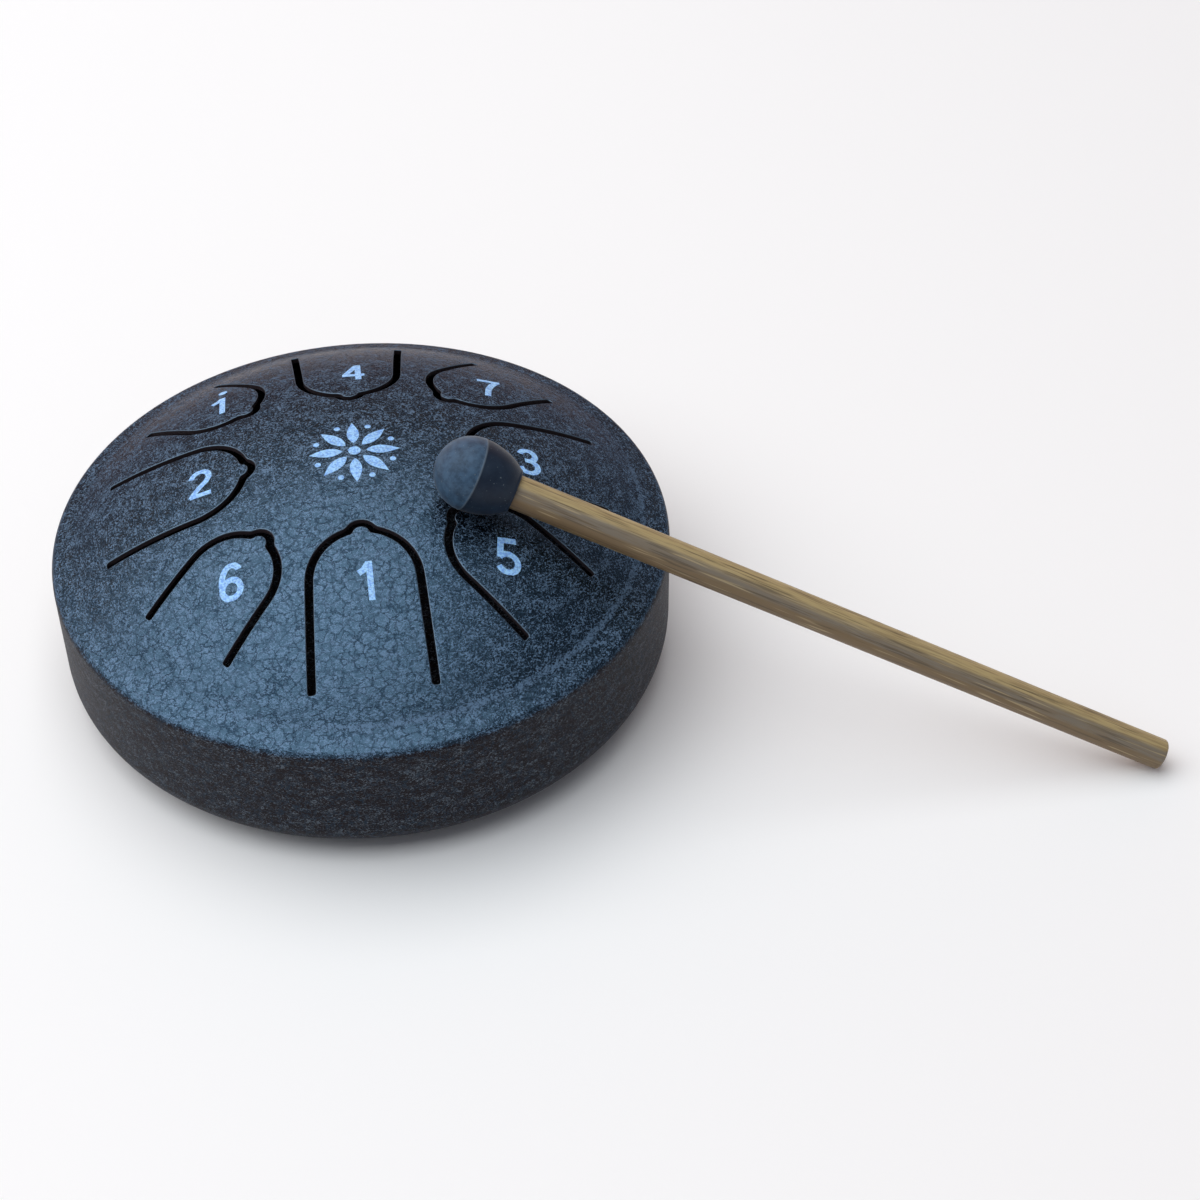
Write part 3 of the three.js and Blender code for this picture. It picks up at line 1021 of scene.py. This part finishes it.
def makeFeetTree():
    one = {"profile": "Geometry", "points": 10, "turnSteps": 64}
    inputs = {**one, "count": 3, "ring": 50.0 * mm, **setting}
    tree, given, made = newTree("feetRing", "Geometry", inputs, ["Geometry"])
    passed = {label: given[label] for label in (*one, "finish")}
    turned = shape(tree, "Group", passed, node_tree=turnedPiece)
    ring = shape(tree, "MeshCircle", {"Vertices": given["count"], "Radius": given["ring"]})
    return settle(tree, given, made, shape(tree, "InstanceOnPoints", {"Points": ring, "Instance": turned}))


def footProfile():
    size, high, edge = foot["radius"], foot["height"], foot["edgeRound"]
    dishEdge = size - foot["dishInset"] * edge
    outBend, upBend = foot["dishBend"]
    points = [(0, foot["dish"]), (dishEdge * outBend, foot["dish"] * upBend), (dishEdge, 0)]
    points += arcPoints(size - edge, edge, edge, -quarter, 0, foot["edgeSteps"])
    points += [(size, high), (0, high)]
    return points


feet = growPiece("rubberFeet", makeFeetTree(), footProfile(), foot)
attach(feet, "drum")
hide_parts("foot_front", "foot_right", "foot_left")
print("stage: feet")

# Mallet: its axis and the ball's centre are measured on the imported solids
mallet = {
    "headRadius": 8.83 * mm,
    "headBack": 10.8 * mm,
    "backRadius": 4.85 * mm,
    "backRound": 0.6 * mm,
    "roundStart": 0.2,
    "lineWidth": 0.5 * mm,
    "lineHeight": 0.08 * mm,
    "lineShape": ((-0.7, 0.45), (-0.35, 0.85), (0, 1), (0.35, 0.85), (0.7, 0.45)),  # across, up
    "lineSlant": radians(9),
    "slantBearing": radians(-133),
    "skinDepth": 0.02 * mm,
    "socketDepth": 12.0 * mm,
    "socketGap": 0.3 * mm,
    "stickAtHead": 4.1 * mm,
    "stickAtEnd": 3.75 * mm,
    "endRound": 0.9 * mm,
    "endTrim": 0.02 * mm,
    "widestRing": 0.01 * mm,
    "frontSteps": 26,
    "backSteps": 20,
    "roundSteps": (5, 6),  # ball and stick
    "stickSteps": 30,
    "turnSteps": 96,
}


def nodePoints(name):
    return np.array([v.co for v in frame["nodes"][name].data.vertices])


def malletFrame():
    stick = nodePoints("mallet_stick")
    middle = stick.mean(axis=0)
    head = nodePoints("mallet_head") - middle
    way = np.linalg.svd(stick - middle, full_matrices=False)[2][0]
    way *= np.sign(way[0])
    along = head @ way
    away = np.linalg.norm(head - along[:, None] * way, axis=1)
    ball = middle + way * along[away > away.max() - mallet["widestRing"]].mean()
    reach = ((stick - ball) @ way).max() - mallet["endTrim"]
    return Vector(ball), (0.0, acos(way[2]), atan2(way[1], way[0])), reach


ballCentre, malletTurn, stickReach = malletFrame()
backStretch = mallet["headBack"] / sqrt(1 - (mallet["backRadius"] / mallet["headRadius"]) ** 2)
roundFrom = mallet["headBack"] - mallet["backRound"]


def headProfile():
    size, back = mallet["headRadius"], mallet["headBack"]
    halfLine = mallet["lineWidth"] / 2
    points = arcPoints(0, 0, size, -quarter, -asin(halfLine / size), mallet["frontSteps"])
    points[0] = (0, -size)
    points += [(size + mallet["lineHeight"] * up, halfLine * way) for way, up in mallet["lineShape"]]
    for share in np.linspace(0, 1, mallet["backSteps"] + 1):
        along = halfLine + (roundFrom - halfLine) * sin(share * quarter)
        points.append((size * sqrt(1 - (along / backStretch) ** 2), along))
    edge = mallet["backRound"]
    edgeX = points[-1][0] - edge
    points += arcPoints(edgeX, roundFrom, edge, mallet["roundStart"], quarter, mallet["roundSteps"][0])
    points += [(mallet["stickAtHead"], back), (mallet["stickAtHead"], back - mallet["socketDepth"])]
    points.append((0, back - mallet["socketDepth"]))
    return points


def stickProfile():
    start = mallet["headBack"] - mallet["socketDepth"] + mallet["socketGap"]
    thick, thin = mallet["stickAtHead"], mallet["stickAtEnd"]
    end, edge = stickReach, mallet["endRound"]
    points = [(0, start), (thick, start)]
    points += linePoints((thick, mallet["headBack"]), (thin, end - edge), mallet["stickSteps"])[:-1]
    points += arcPoints(thin - edge, end - edge, edge, 0, quarter, mallet["roundSteps"][1])
    points.append((0, end))
    return points


def growMallet(name, points, finish, node):
    values = {**mallet, "place": tuple(ballCentre), "turn": malletTurn, "finish": finish}
    piece = growPiece(name, turnedPiece, points, values)
    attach(piece, "mallet")
    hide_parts(node)
    return piece


# Slants the rings of the ball's skin, most at the mould line and not at all at the tip and the back
def slantLine(piece):
    size = mallet["headRadius"]

    def skinRadius(along):
        share = along / np.where(along < 0, size, backStretch)
        return size * np.sqrt(np.maximum(0, 1 - share**2))

    turn = np.array(Euler(malletTurn).to_matrix())
    places = np.array([v.co for v in piece.data.vertices]) - np.array(ballCentre)
    x, y, along = (places @ turn).T
    away = np.hypot(x, y)
    proud = away - skinRadius(along)
    share = along / np.where(along < 0, size, roundFrom)
    onSkin = (proud > -mallet["skinDepth"]) & (np.abs(share) < 1)
    facing = np.cos(np.arctan2(y, x) - mallet["slantBearing"])
    shift = size * tan(mallet["lineSlant"]) * facing * np.square(1 - np.square(share))
    moved = np.where(onSkin, along + shift, along)
    grown = np.where(onSkin, (skinRadius(moved) + proud) / np.maximum(away, 1e-9), 1.0)
    places = np.column_stack([x * grown, y * grown, moved]) @ turn.T + np.array(ballCentre)
    piece.data.vertices.foreach_set("co", places.astype(np.float32).ravel())
    piece.data.update()


slantAxis = Vector(bearingWay(mallet["slantBearing"] - quarter))
slant = Matrix.Rotation(mallet["lineSlant"], 3, slantAxis)
lineTurn = (Euler(malletTurn).to_matrix() @ slant).to_euler()
headRubber = makeHeadRubber(ballCentre, lineTurn)
slantLine(growMallet("malletHead", headProfile(), headRubber, "mallet_head"))
growMallet("malletStick", stickProfile(), makeWood(ballCentre, malletTurn), "mallet_stick")
print("stage: mallet")

# Printed numbers, drawn as strokes in a box one unit high, with the sheet of paint wrapped on the dome
number = {
    "stroke": 0.152,
    "dot": (0.39, 1.40, 0.118, 0.118),
    "middle": (0.3, 0.5),
    "curveSteps": 14,
    "lineSteps": 8,
    "tolerance": 1e-3,
    "lift": 0.05 * mm,
    "sink": 0.06 * mm,
}


def ellipse(x, y, across, up, start, end):
    angles = np.radians(np.linspace(start, end, number["curveSteps"] + 1))
    return [(x + across * cos(a), y + up * sin(a)) for a in angles]


def straight(*points):
    path = [points[0]]
    for start, end in zip(points, points[1:]):
        path += linePoints(start, end, number["lineSteps"])[1:]
    return path


strokes = {
    "1": [
        straight((0.39, -0.1), (0.39, 1.1)),
        straight((0.12, 0.70), (0.25, 0.78), (0.35, 0.92), (0.39, 1.0)),
    ],
    "2": [
        ellipse(0.30, 0.70, 0.225, 0.237, 172, -20),
        straight((0.512, 0.63), (0.46, 0.52), (0.27, 0.33), (0.11, 0.14), (0.06, 0.03)),
        straight((0.03, 0.0625), (0.57, 0.0625)),
    ],
    "3": [
        ellipse(0.285, 0.735, 0.195, 0.203, 168, -88),
        straight((0.20, 0.532), (0.30, 0.532)),
        ellipse(0.285, 0.298, 0.225, 0.235, 90, -172),
    ],
    "4": [
        straight((0.42, -0.1), (0.42, 1.1)),
        straight((0.02, 0.29), (0.58, 0.29)),
        straight((0.47, 1.12), (0.0988, 0.33)),
    ],
    "5": [
        straight((0.105, 0.926), (0.54, 0.926)),
        straight((0.176, 0.93), (0.112, 0.45)),
        ellipse(0.285, 0.31, 0.24, 0.248, 142, -160),
    ],
    "6": [
        ellipse(0.305, 0.305, 0.225, 0.243, 0, 180),
        ellipse(0.305, 0.305, 0.225, 0.243, 180, 360),
        ellipse(0.335, 0.49, 0.255, 0.447, 190, 92),
        ellipse(0.325, 0.735, 0.19, 0.203, 95, 15),
    ],
    "7": [
        straight((0.03, 0.9375), (0.60, 0.9375)),
        straight((0.525, 0.93), (0.38, 0.68), (0.28, 0.40), (0.22, -0.1)),
    ],
}

# Middles and heights in millimetres
numberMarks = [
    {"body": "tongue_1", "sign": "1", "middle": (0.0, -38.2), "height": 9.5},
    {"body": "tongue_5", "sign": "5", "middle": (32.9, -31.4), "height": 9.6},
    {"body": "tongue_3", "sign": "3", "middle": (41.3, -0.8), "height": 9.3},
    {"body": "tongue_7", "sign": "7", "middle": (34.8, 31.4), "height": 9.9},
    {"body": "tongue_4", "sign": "4", "middle": (1.5, 37.7), "height": 9.9},
    {"body": "tongue_1_high", "sign": "1", "dotted": True, "middle": (-32.2, 32.9), "height": 9.5},
    {"body": "tongue_2", "sign": "2", "middle": (-37.0, 0.3), "height": 9.5},
    {"body": "tongue_6", "sign": "6", "middle": (-30.9, -31.9), "height": 9.5},
]


def clipLevel(polygon, level, keepBelow):
    kept = []
    for start, end in zip(polygon, np.roll(polygon, -1, axis=0)):
        startIn = (start[1] <= level) == keepBelow
        endIn = (end[1] <= level) == keepBelow
        if startIn:
            kept.append(start)
        if startIn != endIn:
            kept.append(start + (end - start) * (level - start[1]) / (end[1] - start[1]))
    return np.array(kept)


# A stroke's outline with square ends, cut off at the bottom and the top of the box
def strokeOutline(path):
    path = np.array(path)
    along = np.gradient(path, axis=0)
    along /= np.linalg.norm(along, axis=1)[:, None]
    side = np.column_stack([-along[:, 1], along[:, 0]]) * number["stroke"] / 2
    outline = np.vstack([path - side, (path + side)[::-1]])
    return clipLevel(clipLevel(outline, 1.0, True), 0.0, False)


# Outlines joined into one flat shape of triangles
def joinOutlines(outlines):
    points, faces = [], []
    for outline in outlines:
        faces.append(list(range(len(points), len(points) + len(outline))))
        points += [Vector(p) for p in outline]
    made = delaunay_2d_cdt(points, [], faces, 1, number["tolerance"])
    filled = [triangle for triangle, origin in zip(made[2], made[5]) if origin]
    return np.array([tuple(p) for p in made[0]]), filled


# A flat shape laid on the dome as a thin closed film
def filmOnDome(name, flat, triangles, body):
    film = Sheet()
    high = onDome(flat, -number["lift"])
    low = onDome(flat, number["sink"])
    normals = domeNormals(flat)
    used = set()
    for a, b, c in triangles:
        turnsLeft = np.cross(flat[b] - flat[a], flat[c] - flat[a]) > 0
        corners = [a, b, c] if turnsLeft else [a, c, b]
        film.addBoth(corners, high, low, normals)
        used |= {(corners[i], corners[(i + 1) % 3]) for i in range(3)}
    for start, end in sorted(used):
        if (end, start) not in used:
            step = flat[end] - flat[start]
            out = Vector((step[1], -step[0], 0)).normalized()
            film.add([high[end], high[start], low[start], low[end]], [out] * 4)
    piece = film.toPiece(name, printPaint)
    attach(piece, body)


for mark in numberMarks:
    outlines = [strokeOutline(path) for path in strokes[mark["sign"]]]
    if mark.get("dotted"):
        outlines.append(ellipse(*number["dot"], 0, 180)[:-1] + ellipse(*number["dot"], 180, 360)[:-1])
    flat, triangles = joinOutlines(outlines)
    flat = (flat - number["middle"]) * (mark["height"] * mm) + np.array(mark["middle"]) * mm
    filmOnDome("number" + mark["body"].removeprefix("tongue"), flat, triangles, mark["body"])
print("stage: numbers")

# A plain printed flower in the middle of the dome: leaves, and dots between them
flower = {
    "petals": 8,
    "petalStart": 2.8 * mm,
    "petalEnd": 10.8 * mm,
    "petalHalfWidth": 1.45 * mm,
    "petalSteps": (18, 5),  # along and across
    "petalSwell": 0.8,  # below 1 the leaf is widest nearer its root
    "dotRing": 9.6 * mm,
    "dotRadius": 0.75 * mm,
    "heartRadius": 1.5 * mm,
    "discSteps": 20,
    "lift": number["lift"],
    "sink": number["sink"],
    "domeRadius": domeRadius,
    "place": (axis.x, axis.y, domeCentre),
    "finish": printPaint,
}


def makeFlowerTree():
    lengths = ("petalStart", "petalEnd", "petalHalfWidth", "dotRing", "dotRadius", "heartRadius")
    lengths += ("domeRadius", "lift", "sink")
    inputs = {"petals": 8, **{label: 1.0 * mm for label in lengths}, **setting}
    tree, given, made = newTree("domeFlower", "Geometry", inputs, ["Geometry"])

    def disc(radius):
        sockets = {"Vertices": flower["discSteps"], "Radius": radius}
        return shape(tree, "MeshCircle", sockets, fill_type="NGON")

    def join(*geometries):
        node = tree.nodes.new("GeometryNodeJoinGeometry")
        for geometry in geometries:
            tree.links.new(geometry, node.inputs[0])
        return node.outputs[0]

    stepsAlong, stepsAcross = flower["petalSteps"]
    sizes = {"Size X": 1.0, "Size Y": 2.0, "Vertices X": stepsAlong, "Vertices Y": stepsAcross}
    strip = shape(tree, "MeshGrid", sizes)
    share = calc(tree, "ADD", here(tree)[0], 0.5)
    ends = {"Value": share, "To Min": given["petalStart"], "To Max": given["petalEnd"]}
    along = addNode(tree, "ShaderNodeMapRange", ends).outputs[0]
    swell = calc(tree, "SINE", calc(tree, "MULTIPLY", calc(tree, "POWER", share, flower["petalSwell"]), pi))
    across = calc(tree, "MULTIPLY", calc(tree, "MULTIPLY", swell, given["petalHalfWidth"]), here(tree)[1])
    leaf = mergeNear(tree, moveTo(tree, strip, combine(tree, along, across)), weld["leaf"])
    step = calc(tree, "DIVIDE", 2 * pi, given["petals"])
    turn = combine(tree, 0.0, 0.0, calc(tree, "MULTIPLY", shape(tree, "InputIndex"), step))
    spots = shape(tree, "Points", {"Count": given["petals"]})
    leaves = shape(tree, "InstanceOnPoints", {"Points": spots, "Instance": leaf, "Rotation": turn})
    halfStep = combine(tree, 0.0, 0.0, calc(tree, "MULTIPLY", step, 0.5))
    ring = shape(tree, "MeshCircle", {"Vertices": given["petals"], "Radius": given["dotRing"]})
    ring = shape(tree, "Transform", {"Geometry": ring, "Rotation": halfStep})
    dots = shape(tree, "InstanceOnPoints", {"Points": ring, "Instance": disc(given["dotRadius"])})
    flat = join(leaves, dots, disc(given["heartRadius"]))
    flat = shape(tree, "RealizeInstances", {"Geometry": flat})
    thick = calc(tree, "ADD", given["lift"], given["sink"])
    sockets = {"Mesh": flat, "Offset": (0.0, 0.0, 1.0), "Offset Scale": thick, "Individual": False}
    film = join(shape(tree, "ExtrudeMesh", sockets), shape(tree, "FlipFaces", {"Mesh": flat}))
    closed = mergeNear(tree, film, weld["film"])
    x, y, z = here(tree)
    flatSquare = calc(tree, "ADD", calc(tree, "POWER", x, 2.0), calc(tree, "POWER", y, 2.0))
    square = calc(tree, "SUBTRACT", calc(tree, "POWER", given["domeRadius"], 2.0), flatSquare)
    rise = calc(tree, "ADD", calc(tree, "SQRT", square), calc(tree, "SUBTRACT", z, given["sink"]))
    return settle(tree, given, made, moveTo(tree, closed, combine(tree, x, y, rise)))


flowerPiece = growPiece("domeFlower", makeFlowerTree(), [], flower)
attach(flowerPiece, "drum")
print("stage: flower")

# Stage: pale floor, soft light and the camera of the photograph
stage = {
    "floorSize": 8.0,
    "floorDrop": 0.1 * mm,
    "floorFinish": {
        "Base Color": colour(0.935, 0.955, 0.955),
        "Roughness": 0.9,
        "Specular IOR Level": 0.1,
    },
    "backdrop": colour(0.94, 0.94, 0.95),
    "backdropTop": (0.08, 0.10),
    "roomSide": colour(0.27, 0.27, 0.30),
    "roomRight": colour(0.15, 0.15, 0.17),
    "rightFade": (0.0, 0.7),
    "roomBack": colour(0.52, 0.34, 0.29),
    "roomLow": colour(0.86, 0.49, 0.37),
    "lowFade": (0.3, 0.6),
    "backWay": (-0.22, 0.85, 0.0),
    "backFade": (0.1, 0.75),
    "boxSize": (4.5, 2.6),
    "boxPlace": (-1.7, 0.2, 1.8),
    "boxPower": 71.5,
    "boxColour": (0.97, 0.99, 1.0),
}


def makeFloor():
    half = stage["floorSize"] / 2
    corners = [(-half, -half, 0), (half, -half, 0), (half, half, 0), (-half, half, 0)]
    mesh = bpy.data.meshes.new("floor")
    mesh.from_pydata(corners, [], [(0, 1, 2, 3)])
    material, tree, shader, _ = newMaterial("paleFloor")
    fill(tree, shader, stage["floorFinish"])
    mesh.materials.append(material)
    floor = addObject("floor", mesh)
    floor.location.z = -stage["floorDrop"]


def makeLight():
    world = bpy.data.worlds.new("studio")
    world.use_nodes = True
    tree = world.node_tree
    way = addNode(tree, "ShaderNodeTexCoord").outputs["Generated"]
    right, _, up = parts(tree, way)
    backward = vectorCalc(tree, "DOT_PRODUCT", {0: way, 1: stage["backWay"]}, "Value")
    behind = mixColour(tree, remap(tree, up, *stage["lowFade"]), stage["roomLow"], stage["roomBack"])
    sides = mixColour(tree, remap(tree, right, *stage["rightFade"]), stage["roomSide"], stage["roomRight"])
    room = mixColour(tree, remap(tree, backward, *stage["backFade"]), sides, behind)
    room = mixColour(tree, remap(tree, up, *stage["backdropTop"]), stage["backdrop"], room)
    tree.links.new(room, tree.nodes["Background"].inputs[0])
    scene.world = world
    lamp = bpy.data.lights.new("softbox", "AREA")
    lamp.shape = "RECTANGLE"
    lamp.size, lamp.size_y = stage["boxSize"]
    lamp.energy = stage["boxPower"]
    lamp.color = stage["boxColour"]
    softbox = addObject("softbox", lamp)
    softbox.location = Vector(stage["boxPlace"]) + Vector((axis.x, axis.y, 0))


view = {
    "distance": 619.97 * mm,
    "elevation": 0.741806,
    "aimHeight": 25.0 * mm,
    "pan": -0.091569,
    "tilt": 0.026411,
    "roll": -0.092768,
    "focal": 2509.09,  # in pixels of a picture 1200 wide
    "picture": 1200,
    "sensor": 36.0,
    "clipStart": 10 * mm,
}


def makeCamera():
    lens = bpy.data.cameras.new("camera")
    lens.sensor_width = view["sensor"]
    lens.lens = view["focal"] / view["picture"] * view["sensor"]
    lens.clip_start = view["clipStart"]
    camera = addObject("camera", lens)
    rise = view["elevation"]
    aim = Vector((axis.x, axis.y, base + view["aimHeight"]))
    place = aim + Vector((0, -cos(rise), sin(rise))) * view["distance"]
    turn = (
        Matrix.Rotation(quarter - rise, 4, "X")
        @ Matrix.Rotation(view["pan"], 4, "Y")
        @ Matrix.Rotation(-view["tilt"], 4, "X")
        @ Matrix.Rotation(view["roll"], 4, "Z")
    )
    camera.matrix_world = Matrix.Translation(place) @ turn
    scene.camera = camera


makeFloor()
makeLight()
makeCamera()
print("stage: floor, light and camera")
